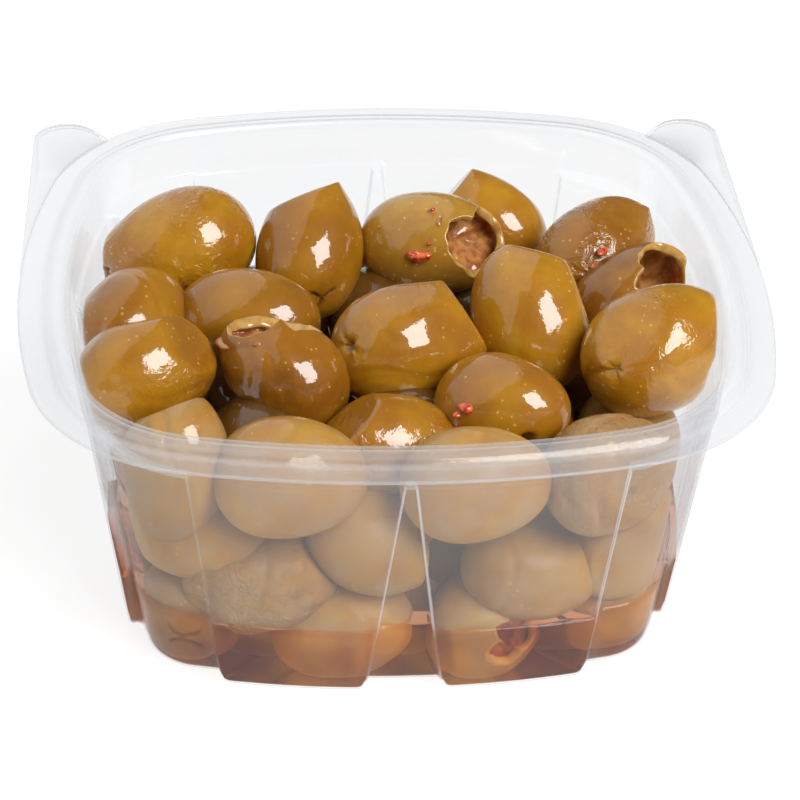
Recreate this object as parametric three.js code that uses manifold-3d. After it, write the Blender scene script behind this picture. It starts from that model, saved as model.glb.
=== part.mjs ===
// An open, clear plastic deli tub filled with pitted green olives.
// Units are millimetres. The origin is at the middle of the base, +Z is up and the front faces -Y.

import * as THREE from "three";
import { mergeVertices } from "three/addons/utils/BufferGeometryUtils.js";
import Module from "manifold-3d";

const wasm = await Module();
wasm.setup();

// Driving sizes of the tub
const FLANGE_HALF = 62; // half of the width over the flat flange
const FLANGE_BOW = 159; // radius of the flange's gently bowed sides
const FLANGE_ROUND = 31; // radius of the flange's corners
const FLANGE_TOP = 51; // height of the flat flange
const SHEET = 0.6; // thickness of the plastic
const BASE_HALF = 45.7; // half of the body's width at the base
const BASE_ROUND = 10; // corner radius of the body at the base
const SEAT_HALF = 51.1; // half of the body's width under the seat
const SEAT_ROUND = 19; // corner radius of the body under the seat
const SEAT_HEIGHT = 43; // top of the panelled wall
const BODY_BOW = 150; // radius of the body's bowed sides
const BODY_FILLET = 2.2; // rounding between the body and the base
const PANEL_FILLET = 1; // rounding at the foot of a panel
const PANEL_PROUD = 2.1; // how far a panel stands out of the body
const PANEL_EDGE = 0.9; // width of the slope at a panel's edge
const PANEL_INNER = { base: 6.4, seat: 1.3 }; // from the middle of a side to the panel
const PANEL_OUTER = { base: 29.1, seat: 33.4 }; // from the middle of a side to the panel's far edge

// The rim's section, as the distance in from the flange's edge and the height over the flange
const RIM_UNDERSIDE = [
  { inward: 8.3, rise: -7 },
  { inward: 7.8, rise: 0.3 },
  { inward: 7.1, rise: 1.1 },
  { inward: 5.4, rise: 0.6 },
  { inward: 4.3, rise: -SHEET },
  { inward: 0, rise: -SHEET },
];
const RIM_TOP = [
  { inward: 0, rise: 0 },
  { inward: 3.9, rise: 0 },
  { inward: 5, rise: 1.2 },
  { inward: 7.3, rise: 1.7 },
  { inward: 8.5, rise: 0.6 },
  { inward: 8.9, rise: -6.6 },
];

// The two grip tabs at the back corners
const TAB_OUTER = 62.9; // from the middle plane to a tab's outer edge
const TAB_END = 56.2; // how far back a tab reaches
const TAB_WIDTH = 12.6;
const TAB_ROUND = 5.6;
const TAB_START = 16; // where a tab's outer edge leaves the flange
const TAB_SWEEP = 130; // degrees that the round end turns through
const TAB_OVERLAP = 3; // how far a tab reaches into the flange

// The heap
const GAP = 0.4; // clearance between the heap and the tub
const HEAP_CEILING = 12; // height over the flange up to which the heap may rise
const CORE_HALF = 36;
const CORE_TAPER = 3; // how much narrower the core is at its foot
const CORE_BOTTOM = 5;
const CORE_TOP = 28;
const OLIVE_SIDES = 10;
const OLIVE_RINGS = 6;
const OLIVE_FULLNESS = 0.06; // how much fuller an olive is towards one end
const PIT_MOUTH = 4.5; // radius of the pit hole at the olive's end
const PIT_FOOT = 2.9; // radius of the pit hole inside
const PIT_DEPTH = 7;
const PIT_OVERSHOOT = 1.2; // how far the cut runs past the olive's end
const PIT_SIDES = 8;

// The olives that show on top, from the back to the front. heading is the compass turn of the long
// axis, with 0 along +X and 90 to the back. lift is the slope of that end. open ones show their pit hole.
const TOP_OLIVES = [
  { at: [-37, 25.5, 41.5], long: 28, wide: 20, heading: 12, lift: 14 },
  { at: [-13.2, 24.5, 41.5], long: 25, wide: 18.5, heading: 82, lift: 42 },
  { at: [8.3, 25.5, 42], long: 26, wide: 18.5, heading: -18, lift: 8, open: true },
  { at: [20, 37.5, 40], long: 23, wide: 15.5, heading: 150, lift: 28, open: true },
  { at: [37.8, 23.5, 41], long: 25, wide: 18.5, heading: 42, lift: 16 },
  { at: [43, 11, 38], long: 24, wide: 18, heading: 30, lift: 24, open: true },
  { at: [41.8, -13.5, 43.5], long: 25, wide: 20, heading: 24, lift: 12 },
  { at: [23.5, -1, 42.5], long: 26, wide: 20, heading: 108, lift: 48 },
  { at: [2.2, -9, 42.2], long: 26.5, wide: 20, heading: 16, lift: 4 },
  { at: [-18.7, -15, 41], long: 23.5, wide: 18, heading: 140, lift: 26, open: true },
  { at: [-24.5, 3.5, 39.5], long: 26, wide: 18.5, heading: -18, lift: 6 },
  { at: [-43.8, 2.5, 40], long: 24, wide: 19, heading: 64, lift: 4 },
  { at: [-41, -16.5, 42], long: 23, wide: 19, heading: 22, lift: 8 },
  { at: [16.6, -24.5, 39.5], long: 23.5, wide: 17.5, heading: -28, lift: 8 },
  { at: [-2.6, -29, 35.5], long: 24, wide: 17.5, heading: 4, lift: 0 },
];

// The olives that press against the front wall, from the top row to the base
const FRONT_OLIVES = [
  { at: [-36.5, -37.5, 37.5], long: 25, wide: 18, heading: 10, lift: 74 },
  { at: [-18.3, -41.5, 38], long: 24, wide: 19, heading: 4, lift: 0 },
  { at: [11, -41.5, 36.5], long: 24, wide: 18.5, heading: 2, lift: 4 },
  { at: [32.5, -39.5, 36.5], long: 22.5, wide: 19.5, heading: 14, lift: 10 },
  { at: [-22.5, -39.8, 17.5], long: 25, wide: 17, heading: 0, lift: 4 },
  { at: [-4.6, -38.5, 23.5], long: 23, wide: 17.5, heading: -6, lift: -20 },
  { at: [20.4, -39.6, 18.5], long: 22.5, wide: 17, heading: 4, lift: -8 },
  { at: [36, -36, 22], long: 22, wide: 18, heading: 40, lift: 50 },
  { at: [13.5, -38.5, 8.6], long: 22, wide: 17, heading: 60, lift: 16 },
  { at: [-9.5, -38.5, 8.6], long: 23, wide: 17, heading: -8, lift: 8 },
  { at: [-33.5, -33.5, 9.6], long: 22, wide: 17.5, heading: 50, lift: 12 },
  { at: [33, -33, 9.4], long: 22, wide: 17.5, heading: -40, lift: 10 },
];

// The rows that press against the right, back and left walls, laid out by a rule
const WALL_ROWS = [
  { height: 9.6, reach: 36.2, places: [-11.5, 11.5, 33] },
  { height: 25.5, reach: 39, places: [-13, 10.5, 35] },
];
const WALL_OLIVE = { long: 24.5, wide: 18 };
const WALL_CORNER = { place: 30, reach: 33, turn: 135 }; // from this place on an olive fills the corner

// The layer that shows in the gaps between the top olives
const SECOND_LAYER = { height: 30, spacing: 21.5, scatter: 3 };

// Chilli flakes that lie on the olives: the place on top, and half the flake's length
const CHILLI_FLAKES = [
  { at: [6.6, 17.4, 43.6], half: 1.8 },
  { at: [38, 15.9, 44.2], half: 1.9 },
  { at: [11.2, -31.2, 42.6], half: 1.6 },
];

const radians = THREE.MathUtils.degToRad;

function mix(a, b, t) {
  return a + (b - a) * t;
}

// A small repeatable random source, from 0 to 1
function makeRandom(seed) {
  let state = seed;
  return () => {
    state = (state * 1664525 + 1013904223) % 4294967296;
    return state / 4294967296;
  };
}

// A square with bowed sides and round corners, as seen from above
class BowedSquare {
  constructor(half, bow, round) {
    this.half = half;
    this.bow = bow;
    this.round = round;
    this.bowCentre = half - bow;
    const reach = bow - round;
    this.corner = (this.bowCentre + Math.sqrt(2 * reach ** 2 - this.bowCentre ** 2)) / 2;
    this.turn = Math.atan2(this.corner, this.corner - this.bowCentre);
  }

  // Point of one half side whose outward normal makes this angle with the side's axis
  pointAt(angle) {
    const along = Math.abs(angle);
    const onSide = along <= this.turn;
    const radius = onSide ? this.bow : this.round;
    const u = (onSide ? 0 : this.corner) + radius * Math.sin(along);
    const v = (onSide ? this.bowCentre : this.corner) + radius * Math.cos(along);
    return { u: u * Math.sign(angle), v };
  }

  // Normal angle at a distance from the middle of the side
  angleAt(u) {
    const onSide = u <= this.bow * Math.sin(this.turn);
    return onSide ? Math.asin(u / this.bow) : Math.asin((u - this.corner) / this.round);
  }

  grown(distance) {
    return new BowedSquare(this.half + distance, this.bow + distance, this.round + distance);
  }
}

const flangeOutline = new BowedSquare(FLANGE_HALF, FLANGE_BOW, FLANGE_ROUND);

function bodyOutline(height) {
  const t = height / SEAT_HEIGHT;
  return new BowedSquare(mix(BASE_HALF, SEAT_HALF, t), BODY_BOW, mix(BASE_ROUND, SEAT_ROUND, t));
}

// Where the wall's vertices stand on half a side: its normal angle, and 1 on a panel
function halfSideStations(height) {
  const outline = bodyOutline(height);
  const t = height / SEAT_HEIGHT;
  const inner = mix(PANEL_INNER.base, PANEL_INNER.seat, t);
  const outer = mix(PANEL_OUTER.base, PANEL_OUTER.seat, t);
  const panelSteps = 3;
  const cornerSteps = 4;
  const stations = [{ angle: outline.angleAt(Math.max(inner - PANEL_EDGE, 0.2)), panel: 0 }];
  for (let k = 0; k <= panelSteps; k++) {
    stations.push({ angle: outline.angleAt(mix(inner, outer, k / panelSteps)), panel: 1 });
  }
  const last = outline.angleAt(outer + PANEL_EDGE);
  for (let k = 0; k <= cornerSteps; k++) {
    stations.push({ angle: mix(last, Math.PI / 4, k / cornerSteps), panel: 0 });
  }
  return stations;
}

// One closed ring of wall points: place() turns a station into the outward distance and the height
function ring(outline, stationHeight, place) {
  const half = halfSideStations(stationHeight);
  const mirrored = half.slice(0, -1).reverse().map((s) => ({ angle: -s.angle, panel: s.panel }));
  const points = [];
  for (const side of [-90, 0, 90, 180]) {
    const turn = radians(side);
    for (const station of [...mirrored, ...half]) {
      const { u, v } = outline.pointAt(station.angle);
      const { out, height } = place(station);
      const su = u + out * Math.sin(station.angle);
      const sv = v + out * Math.cos(station.angle);
      points.push(new THREE.Vector3(
        sv * Math.cos(turn) - su * Math.sin(turn),
        sv * Math.sin(turn) + su * Math.cos(turn),
        height,
      ));
    }
  }
  return points;
}

// Rings of the panelled wall, from the base to the seat. inset moves the surface inwards.
function bodyRings(inset) {
  const rings = [];
  const filletSteps = 3;
  for (let k = 0; k < filletSteps; k++) {
    const bend = (Math.PI / 2) * (k / (filletSteps - 1));
    rings.push(ring(bodyOutline(0), 0, (station) => {
      const fillet = Math.max((station.panel ? PANEL_FILLET : BODY_FILLET) - inset, 0.3);
      const out = station.panel * PANEL_PROUD - inset - fillet * (1 - Math.sin(bend));
      return { out, height: inset + fillet * (1 - Math.cos(bend)) };
    }));
  }
  rings.push(ring(bodyOutline(SEAT_HEIGHT), SEAT_HEIGHT, (station) => {
    return { out: station.panel * PANEL_PROUD - inset, height: SEAT_HEIGHT + 0.6 * inset };
  }));
  return rings;
}

function rimRing({ inward, rise }) {
  const outline = flangeOutline.grown(-inward);
  return ring(outline, SEAT_HEIGHT, () => ({ out: 0, height: FLANGE_TOP + rise }));
}

// Joins rings into one closed body: the first and the last ring are closed with a fan
function loft(rings) {
  const count = rings[0].length;
  const positions = [];
  const add = (a, b, c) => positions.push(a.x, a.y, a.z, b.x, b.y, b.z, c.x, c.y, c.z);
  const first = new THREE.Vector3(0, 0, rings[0][0].z);
  const last = new THREE.Vector3(0, 0, rings.at(-1)[0].z);
  for (let i = 0; i < count; i++) {
    const j = (i + 1) % count;
    add(first, rings[0][j], rings[0][i]);
    add(last, rings.at(-1)[i], rings.at(-1)[j]);
    for (let k = 0; k + 1 < rings.length; k++) {
      add(rings[k][i], rings[k][j], rings[k + 1][j]);
      add(rings[k][i], rings[k + 1][j], rings[k + 1][i]);
    }
  }
  const geometry = new THREE.BufferGeometry();
  geometry.setAttribute("position", new THREE.Float32BufferAttribute(positions, 3));
  return geometry;
}

function toSolid(geometry) {
  const bare = geometry.clone();
  bare.deleteAttribute("normal");
  bare.deleteAttribute("uv");
  const merged = mergeVertices(bare, 1e-4);
  return new wasm.Manifold(new wasm.Mesh({
    numProp: 3,
    vertProperties: new Float32Array(merged.attributes.position.array),
    triVerts: new Uint32Array(merged.index.array),
  }));
}

function toGeometry(solid) {
  const mesh = solid.getMesh();
  const geometry = new THREE.BufferGeometry();
  geometry.setAttribute("position", new THREE.Float32BufferAttribute(mesh.vertProperties, 3));
  geometry.setIndex(new THREE.Uint32BufferAttribute(mesh.triVerts, 1));
  geometry.computeVertexNormals();
  return geometry;
}

// The moulded sheet: up the outside, over the rim and down the inside
function tubShell() {
  const outside = bodyRings(0);
  const rim = [...RIM_UNDERSIDE, ...RIM_TOP].map(rimRing);
  const inside = bodyRings(SHEET).reverse();
  return toSolid(loft([...outside, ...rim, ...inside]));
}

// A grip tab: a flat tongue with round corners that runs on from the flange's side
function gripTab(side) {
  const inner = TAB_OUTER - TAB_WIDTH;
  const shape = new THREE.Shape();
  shape.moveTo(FLANGE_HALF - TAB_OVERLAP, TAB_START);
  shape.lineTo(FLANGE_HALF - 0.3, TAB_START);
  shape.lineTo(TAB_OUTER, TAB_END - TAB_ROUND);
  shape.absarc(TAB_OUTER - TAB_ROUND, TAB_END - TAB_ROUND, TAB_ROUND, 0, radians(TAB_SWEEP), false);
  shape.lineTo(inner, TAB_END - TAB_ROUND);
  shape.lineTo(inner, TAB_END - 2 * TAB_ROUND);
  const plate = new THREE.ExtrudeGeometry(shape, { depth: SHEET, bevelEnabled: false, curveSegments: 6 });
  const solid = toSolid(plate).translate([0, 0, FLANGE_TOP - SHEET]);
  return side > 0 ? solid : solid.mirror([1, 0, 0]);
}

function makeTub() {
  return tubShell().add(gripTab(1)).add(gripTab(-1));
}

// An olive's body: a spindle that is a little fuller towards one end
function oliveGeometry(long, wide) {
  const profile = [];
  for (let k = 0; k <= OLIVE_RINGS; k++) {
    const bend = Math.PI * (k / OLIVE_RINGS);
    const onAxis = k === 0 || k === OLIVE_RINGS;
    const fullness = 1 + OLIVE_FULLNESS * Math.cos(bend);
    const radius = onAxis ? 0 : (wide / 2) * Math.sin(bend) * fullness;
    profile.push(new THREE.Vector2(radius, -(long / 2) * Math.cos(bend)));
  }
  return new THREE.LatheGeometry(profile, OLIVE_SIDES);
}

// Turns +Y, the axis of an olive, to its heading and lift, and moves it to its place
function olivePlacement({ at, heading, lift }) {
  const turn = radians(heading);
  const slope = radians(lift);
  const axis = new THREE.Vector3(
    Math.cos(slope) * Math.cos(turn),
    Math.cos(slope) * Math.sin(turn),
    Math.sin(slope),
  );
  const rotation = new THREE.Quaternion().setFromUnitVectors(new THREE.Vector3(0, 1, 0), axis);
  return new THREE.Matrix4().compose(new THREE.Vector3(...at), rotation, new THREE.Vector3(1, 1, 1));
}

// The widening hole that the pitting machine leaves at the end of an olive
function pitHole(long) {
  const hole = new THREE.CylinderGeometry(PIT_MOUTH, PIT_FOOT, PIT_DEPTH, PIT_SIDES);
  return hole.translate(0, long / 2 - PIT_DEPTH / 2 + PIT_OVERSHOOT, 0);
}

function oliveSolid(olive) {
  const placement = olivePlacement(olive);
  return toSolid(oliveGeometry(olive.long, olive.wide).applyMatrix4(placement));
}

// Olives along the right, back and left walls. The corners are shared, so each side has three.
function wallOlives() {
  const random = makeRandom(7);
  const olives = [];
  for (const row of WALL_ROWS) {
    for (const side of [0, 90, 180]) {
      for (const place of row.places) {
        const turn = radians(side);
        const corner = place > WALL_CORNER.place;
        const reach = corner ? WALL_CORNER.reach : row.reach;
        olives.push({
          at: [
            reach * Math.cos(turn) - place * Math.sin(turn),
            reach * Math.sin(turn) + place * Math.cos(turn),
            row.height + 2 * (random() - 0.5),
          ],
          long: WALL_OLIVE.long * mix(0.94, 1.04, random()),
          wide: WALL_OLIVE.wide * mix(0.95, 1.04, random()),
          heading: side + (corner ? WALL_CORNER.turn : 90) + 40 * (random() - 0.5),
          lift: 50 * (random() - 0.5),
        });
      }
    }
  }
  return olives;
}

// A square of nine olives under the top ones, each turned its own way
function secondLayerOlives() {
  const random = makeRandom(23);
  const steps = [-1, 0, 1];
  return steps.flatMap((column) => steps.map((row) => ({
    at: [
      SECOND_LAYER.spacing * column + SECOND_LAYER.scatter * (random() - 0.5),
      SECOND_LAYER.spacing * row + SECOND_LAYER.scatter * (random() - 0.5),
      SECOND_LAYER.height + SECOND_LAYER.scatter * (random() - 0.5),
    ],
    long: WALL_OLIVE.long,
    wide: WALL_OLIVE.wide,
    heading: 180 * random(),
    lift: 40 * (random() - 0.5),
  })));
}

function coreSolid() {
  const height = CORE_TOP - CORE_BOTTOM;
  const top = CORE_HALF * Math.SQRT2;
  const foot = (CORE_HALF - CORE_TAPER) * Math.SQRT2;
  const core = new THREE.CylinderGeometry(top, foot, height, 4);
  core.rotateX(Math.PI / 2).rotateZ(Math.PI / 4);
  core.translate(0, 0, (CORE_TOP + CORE_BOTTOM) / 2);
  return toSolid(core);
}

function chilliFlake({ at, half }) {
  const flake = new THREE.SphereGeometry(half, 6, 4);
  flake.scale(1, 0.7, 0.55);
  return toSolid(flake.translate(...at));
}

// The space inside the tub, less the gap, open to above the rim
function heapSpace() {
  const walls = bodyRings(SHEET + GAP);
  const upper = flangeOutline.grown(-(RIM_TOP.at(-1).inward + GAP));
  for (const height of [FLANGE_TOP + RIM_TOP.at(-1).rise + GAP, FLANGE_TOP + HEAP_CEILING]) {
    walls.push(ring(upper, SEAT_HEIGHT, () => ({ out: 0, height })));
  }
  return toSolid(loft(walls));
}

function makeOlives() {
  const olives = [...TOP_OLIVES, ...FRONT_OLIVES, ...wallOlives(), ...secondLayerOlives()];
  const pieces = [coreSolid(), ...olives.map(oliveSolid), ...CHILLI_FLAKES.map(chilliFlake)];
  const holes = olives.filter((olive) => olive.open).map((olive) => {
    return toSolid(pitHole(olive.long).applyMatrix4(olivePlacement(olive)));
  });
  const heap = wasm.Manifold.union(pieces).intersect(heapSpace());
  return holes.reduce((rest, hole) => rest.subtract(hole), heap);
}

const clearPlastic = new THREE.MeshStandardMaterial({
  color: 0xf2f4f5, roughness: 0.06, metalness: 0, transparent: true, opacity: 0.25,
});
const oliveFlesh = new THREE.MeshStandardMaterial({ color: 0xa8741c, roughness: 0.22, metalness: 0 });

function namedMesh(name, solid, material) {
  const mesh = new THREE.Mesh(toGeometry(solid), material);
  mesh.name = name;
  return mesh;
}

const oliveTub = new THREE.Group();
oliveTub.add(namedMesh("tub", makeTub(), clearPlastic));
oliveTub.add(namedMesh("olives", makeOlives(), oliveFlesh));

export default oliveTub;
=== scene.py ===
"""An open, clear plastic deli tub filled with pitted green olives in oil.

Sizes are in millimetres, as in the part's source, and become metres where a mesh is made.
The origin is at the middle of the tub's base, +Z is up and the front faces -Y.
"""

import math

import bmesh
import bpy
import numpy as np
from mathutils import Matrix, Vector


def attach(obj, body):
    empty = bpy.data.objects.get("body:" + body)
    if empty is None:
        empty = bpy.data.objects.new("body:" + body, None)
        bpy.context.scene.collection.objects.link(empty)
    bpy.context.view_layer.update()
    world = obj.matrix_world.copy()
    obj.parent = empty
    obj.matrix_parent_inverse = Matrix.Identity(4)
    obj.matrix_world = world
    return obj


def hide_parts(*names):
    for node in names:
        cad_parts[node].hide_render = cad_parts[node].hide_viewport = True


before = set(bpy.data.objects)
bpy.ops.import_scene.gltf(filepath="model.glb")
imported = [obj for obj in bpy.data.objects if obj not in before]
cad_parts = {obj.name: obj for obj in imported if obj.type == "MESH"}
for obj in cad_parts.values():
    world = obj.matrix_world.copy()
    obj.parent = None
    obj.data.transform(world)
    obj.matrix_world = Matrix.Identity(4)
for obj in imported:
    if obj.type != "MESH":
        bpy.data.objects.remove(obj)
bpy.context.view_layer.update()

MM = 0.001

# The tub's driving sizes, as in the part's source
FLANGE_HALF = 62
FLANGE_BOW = 159
FLANGE_ROUND = 31
FLANGE_TOP = 51
SHEET = 0.6
BASE_HALF = 45.7
BASE_ROUND = 10
SEAT_HALF = 51.1
SEAT_ROUND = 19
SEAT_HEIGHT = 43
BODY_BOW = 150
BODY_FILLET = 2.2
PANEL_FILLET = 1
PANEL_PROUD = 2.1
PANEL_EDGE = 0.9
FOOT_ROUND = 1.3
PANEL_INNER = {"base": 6.4, "seat": 1.3}
PANEL_OUTER = {"base": 29.1, "seat": 33.4}
RIM_UNDERSIDE = [(8.3, -7), (7.8, 0.3), (7.1, 1.1), (5.4, 0.6), (4.3, -SHEET), (0, -SHEET)]
RIM_TOP = [(0, 0), (3.9, 0), (5, 1.2), (7.3, 1.7), (8.5, 0.6), (8.9, -6.6)]
RIM_ROUND = 0.7
TAB_OUTER = 62.9
TAB_END = 56.2
TAB_ROUND = 5.6
TAB_START = 1
TAB_SWEEP = 160
TAB_FIELD_START = 36.5

# Rows over a tab, from its outer edge: how far in they lie, and the rise of its field there
TAB_ROWS = [(0.0, 0), (0.15, 0), (0.9, 0), (1.2, 0.3), (1.5, 0.3), (99, 0.0)]

# The liquid at the bottom of the tub, and how it climbs the wall and clings at the front left
OIL_LEVEL = 11.8
OIL_MENISCUS = 1.0
OIL_EDGE = [(0, 1.0), (0.7, 0.92), (1.2, 0.35), (2.0, 0.0)]
CORNER_CREEP = 7
CREEP_START = 10
CREEP_EASE = 20
SIDE_FILM = 3
SIDE_WALL = 44.5
SIDE_END = 34

# How much painted glint a crease of the plastic gets, and how strongly its ledges, its bends, its back and
# what is wet behind get the painted crease glint and shade
CREASE_PAINTED_GLINT = 0.4
LEDGE_CREASE = 0.06
FULL_BEND = 0.5
BEND_CREASE = 0.7
BACK_CREASE = 0.35
WET_CREASE = 0.3
TAB_CREASES = [0.6, 0.1, 0.1, 0.35, 0.1, 0.0]

# How much of its gloss and haze the outer face loses where oil lies behind a side wall
BEHIND_OIL = 0.7

# The plastic: its tint plain, at a slant and on a crease as painted shade, its haze, and how much it
# mirrors
CLEAR_TINT = (0.965, 0.97, 0.975)
SLANT_TINT = (0.89, 0.90, 0.91)
CREASE_PAINTED_SHADE = (0.84, 0.85, 0.87)
HAZE_COLOUR = (0.92, 0.93, 0.95, 1)
HAZE_LOW = 0.03
HAZE_HIGH = 0.078
MIRROR_PLAIN = 0.024
MIRROR_SLANT = 0.28

# How olives press against the tub: the gap, how softly, and the ease at a panel's edge
PRESS_CLEARANCE = SHEET + 0.1
PRESS_GIVE = 1.6
PRESS_EASE = 2.5
LEDGE_REACH = 2.7
HEAP_TOP = 53.9

# The camera of the photo: its place in metres, its turns in degrees and its focal length
CAMERA_PLACE = (-0.02359, -0.35851, 0.25661)
CAMERA_PITCH = 32.753
CAMERA_YAW = 4.023
CAMERA_ROLL = 1.298
CAMERA_LENS = 111.29
SENSOR_WIDTH = 36

# The studio's window: its way and distance from the heap, its size in metres and its radiance
HEAP_CENTRE = (0, 0, 0.045)
WINDOW_WAY = (42, 46)
WINDOW_DISTANCE = 1.1
WINDOW_SIZE = (0.64, 0.70)
WINDOW_RADIANCE = 10.0

# An even fill light that leaves no reflection
FILL_STRENGTH = 0.25
FILL_ANGLE = 120

# The studio's white wall: its middle as a direction, its edge as a cosine, and the glow on and off it
WHITE_WALL_DIRECTION = (-0.8, 0.45, 0.4)
WHITE_WALL_EDGE = 0.49
WHITE_WALL_BLUR = 0.02
WHITE_WALL_GLOW = 0.76
ROOM_GLOW = 0.09

# Light that the white table sends up by itself, as a lit table does
FLOOR_GLOW = 0.84
FLOOR_WHITE = 0.18
FLOOR_ROUGHNESS = 0.8
FLOOR_HALF = 3.0
FLOOR_GAP = 0.0002

# How finely things are made
PANEL_STEPS = 8
SLOPE_STEPS = 6
CORNER_STEPS = 14


def mix(a, b, t):
    return a + (b - a) * t


def smooth(t):
    t = np.clip(t, 0, 1)
    return t * t * (3 - 2 * t)


def sharp(distance, width):
    """A soft bump that is 1 at no distance and fades over the width."""
    return np.exp(-((distance / width) ** 2))


def add_object(name, data):
    made = bpy.data.objects.new(name, data)
    bpy.context.scene.collection.objects.link(made)
    return made


def unit(vector):
    return vector / np.maximum(np.linalg.norm(vector, axis=-1, keepdims=True), 1e-9)


# Camera, lights and floor

def make_camera():
    """Places the camera by the turns that the photo was fitted with."""
    pitch, yaw, roll = (math.radians(v) for v in (CAMERA_PITCH, CAMERA_YAW, CAMERA_ROLL))
    right = Vector((1, 0, 0))
    forward = Vector((0, math.cos(pitch), -math.sin(pitch)))
    up = Vector((0, math.sin(pitch), math.cos(pitch)))
    rolled_right = math.cos(roll) * right + math.sin(roll) * up
    rolled_up = -math.sin(roll) * right + math.cos(roll) * up
    turn = Matrix((rolled_right, rolled_up, -forward)) @ Matrix.Rotation(yaw, 3, "Z")
    data = bpy.data.cameras.new("photo_camera")
    data.lens = CAMERA_LENS
    data.sensor_width = SENSOR_WIDTH
    data.clip_start, data.clip_end = 0.01, 50
    camera = add_object("photo_camera", data)
    camera.matrix_world = Matrix.Translation(CAMERA_PLACE) @ turn.transposed().to_4x4()
    bpy.context.scene.camera = camera


def make_window():
    """A rectangular softbox with an even radiance that faces the heap."""
    data = bpy.data.lights.new("window_softbox", "AREA")
    data.shape = "RECTANGLE"
    data.size, data.size_y = WINDOW_SIZE
    data.energy = WINDOW_RADIANCE * math.pi * WINDOW_SIZE[0] * WINDOW_SIZE[1]
    window = add_object("window_softbox", data)
    place = Vector(HEAP_CENTRE) + WINDOW_DISTANCE * Vector(facing_way(*WINDOW_WAY))
    facing = (Vector(HEAP_CENTRE) - place).to_track_quat("-Z", "Y").to_matrix().to_4x4()
    window.matrix_world = Matrix.Translation(place) @ facing
    window.visible_camera = False


def make_fill():
    sun = bpy.data.lights.new("even_fill", "SUN")
    sun.energy = FILL_STRENGTH
    sun.angle = math.radians(FILL_ANGLE)
    add_object("even_fill", sun).visible_glossy = False


def make_world():
    """A pale room for the camera. The light comes from a white wall on the left and behind."""
    world = bpy.data.worlds.new("studio")
    bpy.context.scene.world = world
    world.use_nodes = True
    tree = world.node_tree
    tree.nodes.clear()
    direction = node(tree, "TexCoord", {}).outputs["Generated"]
    wall = unit(np.array(WHITE_WALL_DIRECTION)).tolist()
    along = node(tree, "VectorMath", {0: direction, 1: wall}, operation="DOT_PRODUCT").outputs["Value"]
    low, high = WHITE_WALL_EDGE - WHITE_WALL_BLUR, WHITE_WALL_EDGE + WHITE_WALL_BLUR
    glow = map_range(tree, along, low, high, ROOM_GLOW, WHITE_WALL_GLOW)
    lit = node(tree, "Background", {"Color": (1, 1, 1, 1), "Strength": glow})
    pale = node(tree, "Background", {"Color": (1, 1, 1, 1), "Strength": 1.0})
    seen = node(tree, "LightPath", {}).outputs["Is Camera Ray"]
    blend = mix_shader(tree, seen, lit, pale)
    node(tree, "OutputWorld", {"Surface": blend.outputs[0]})


def make_floor():
    """A plain pale floor just under the tub."""
    half = FLOOR_HALF
    corners = [(-half, -half, 0), (half, -half, 0), (half, half, 0), (-half, half, 0)]
    mesh = bpy.data.meshes.new("floor")
    mesh.from_pydata(corners, [], [(0, 1, 2, 3)])
    floor = add_object("floor", mesh)
    floor.location.z = -FLOOR_GAP
    material, shader = principled("floor_paint", (FLOOR_WHITE,) * 3, FLOOR_ROUGHNESS)
    put(shader, {"Emission Color": (1, 1, 1, 1), "Emission Strength": FLOOR_GLOW})
    mesh.materials.append(material)


# Shader helpers

def principled(name, colour, roughness):
    material = bpy.data.materials.new(name)
    material.use_nodes = True
    shader = material.node_tree.nodes["Principled BSDF"]
    put(shader, {"Base Color": (*colour, 1), "Roughness": roughness})
    return material, shader


def bare_material(name):
    material = bpy.data.materials.new(name)
    material.use_nodes = True
    material.node_tree.nodes.clear()
    return material, material.node_tree


def put(made, inputs):
    """Sets a node's inputs to values, or links sockets to them."""
    for key, value in inputs.items():
        if isinstance(value, bpy.types.NodeSocket):
            made.id_data.links.new(value, made.inputs[key])
        else:
            made.inputs[key].default_value = value


def node(tree, kind, inputs, **settings):
    """Adds a shader node."""
    made = tree.nodes.new("ShaderNode" + kind)
    for key, value in settings.items():
        setattr(made, key, value)
    put(made, inputs)
    return made


def maths(tree, operation, first, second=0.0):
    return node(tree, "Math", {0: first, 1: second}, operation=operation).outputs[0]


def product(tree, first, *factors):
    for factor in factors:
        first = maths(tree, "MULTIPLY", first, factor)
    return first


def mix_shader(tree, share, first, second):
    return node(tree, "MixShader", {0: share, 1: first.outputs[0], 2: second.outputs[0]})


def map_range(tree, value, low, high, to_low=0.0, to_high=1.0):
    values = {"Value": value, "From Min": low, "From Max": high, "To Min": to_low, "To Max": to_high}
    return node(tree, "MapRange", values, interpolation_type="SMOOTHSTEP").outputs[0]


def mix_colour(tree, share, first, second):
    values = {0: share, 6: first, 7: second}
    values = {key: (*value, 1) if isinstance(value, tuple) else value for key, value in values.items()}
    return node(tree, "Mix", values, data_type="RGBA").outputs[2]


def attribute(tree, name):
    return node(tree, "Attribute", {}, attribute_name=name).outputs["Fac"]


def noise(tree, scale, detail=2.0, offset=(0, 0, 0)):
    place = node(tree, "TexCoord", {}).outputs["Object"]
    moved = node(tree, "VectorMath", {0: place, 1: offset}, operation="ADD").outputs[0]
    values = {"Vector": moved, "Scale": scale, "Detail": detail}
    return node(tree, "TexNoise", values).outputs["Fac"]


# Mesh helpers

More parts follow.
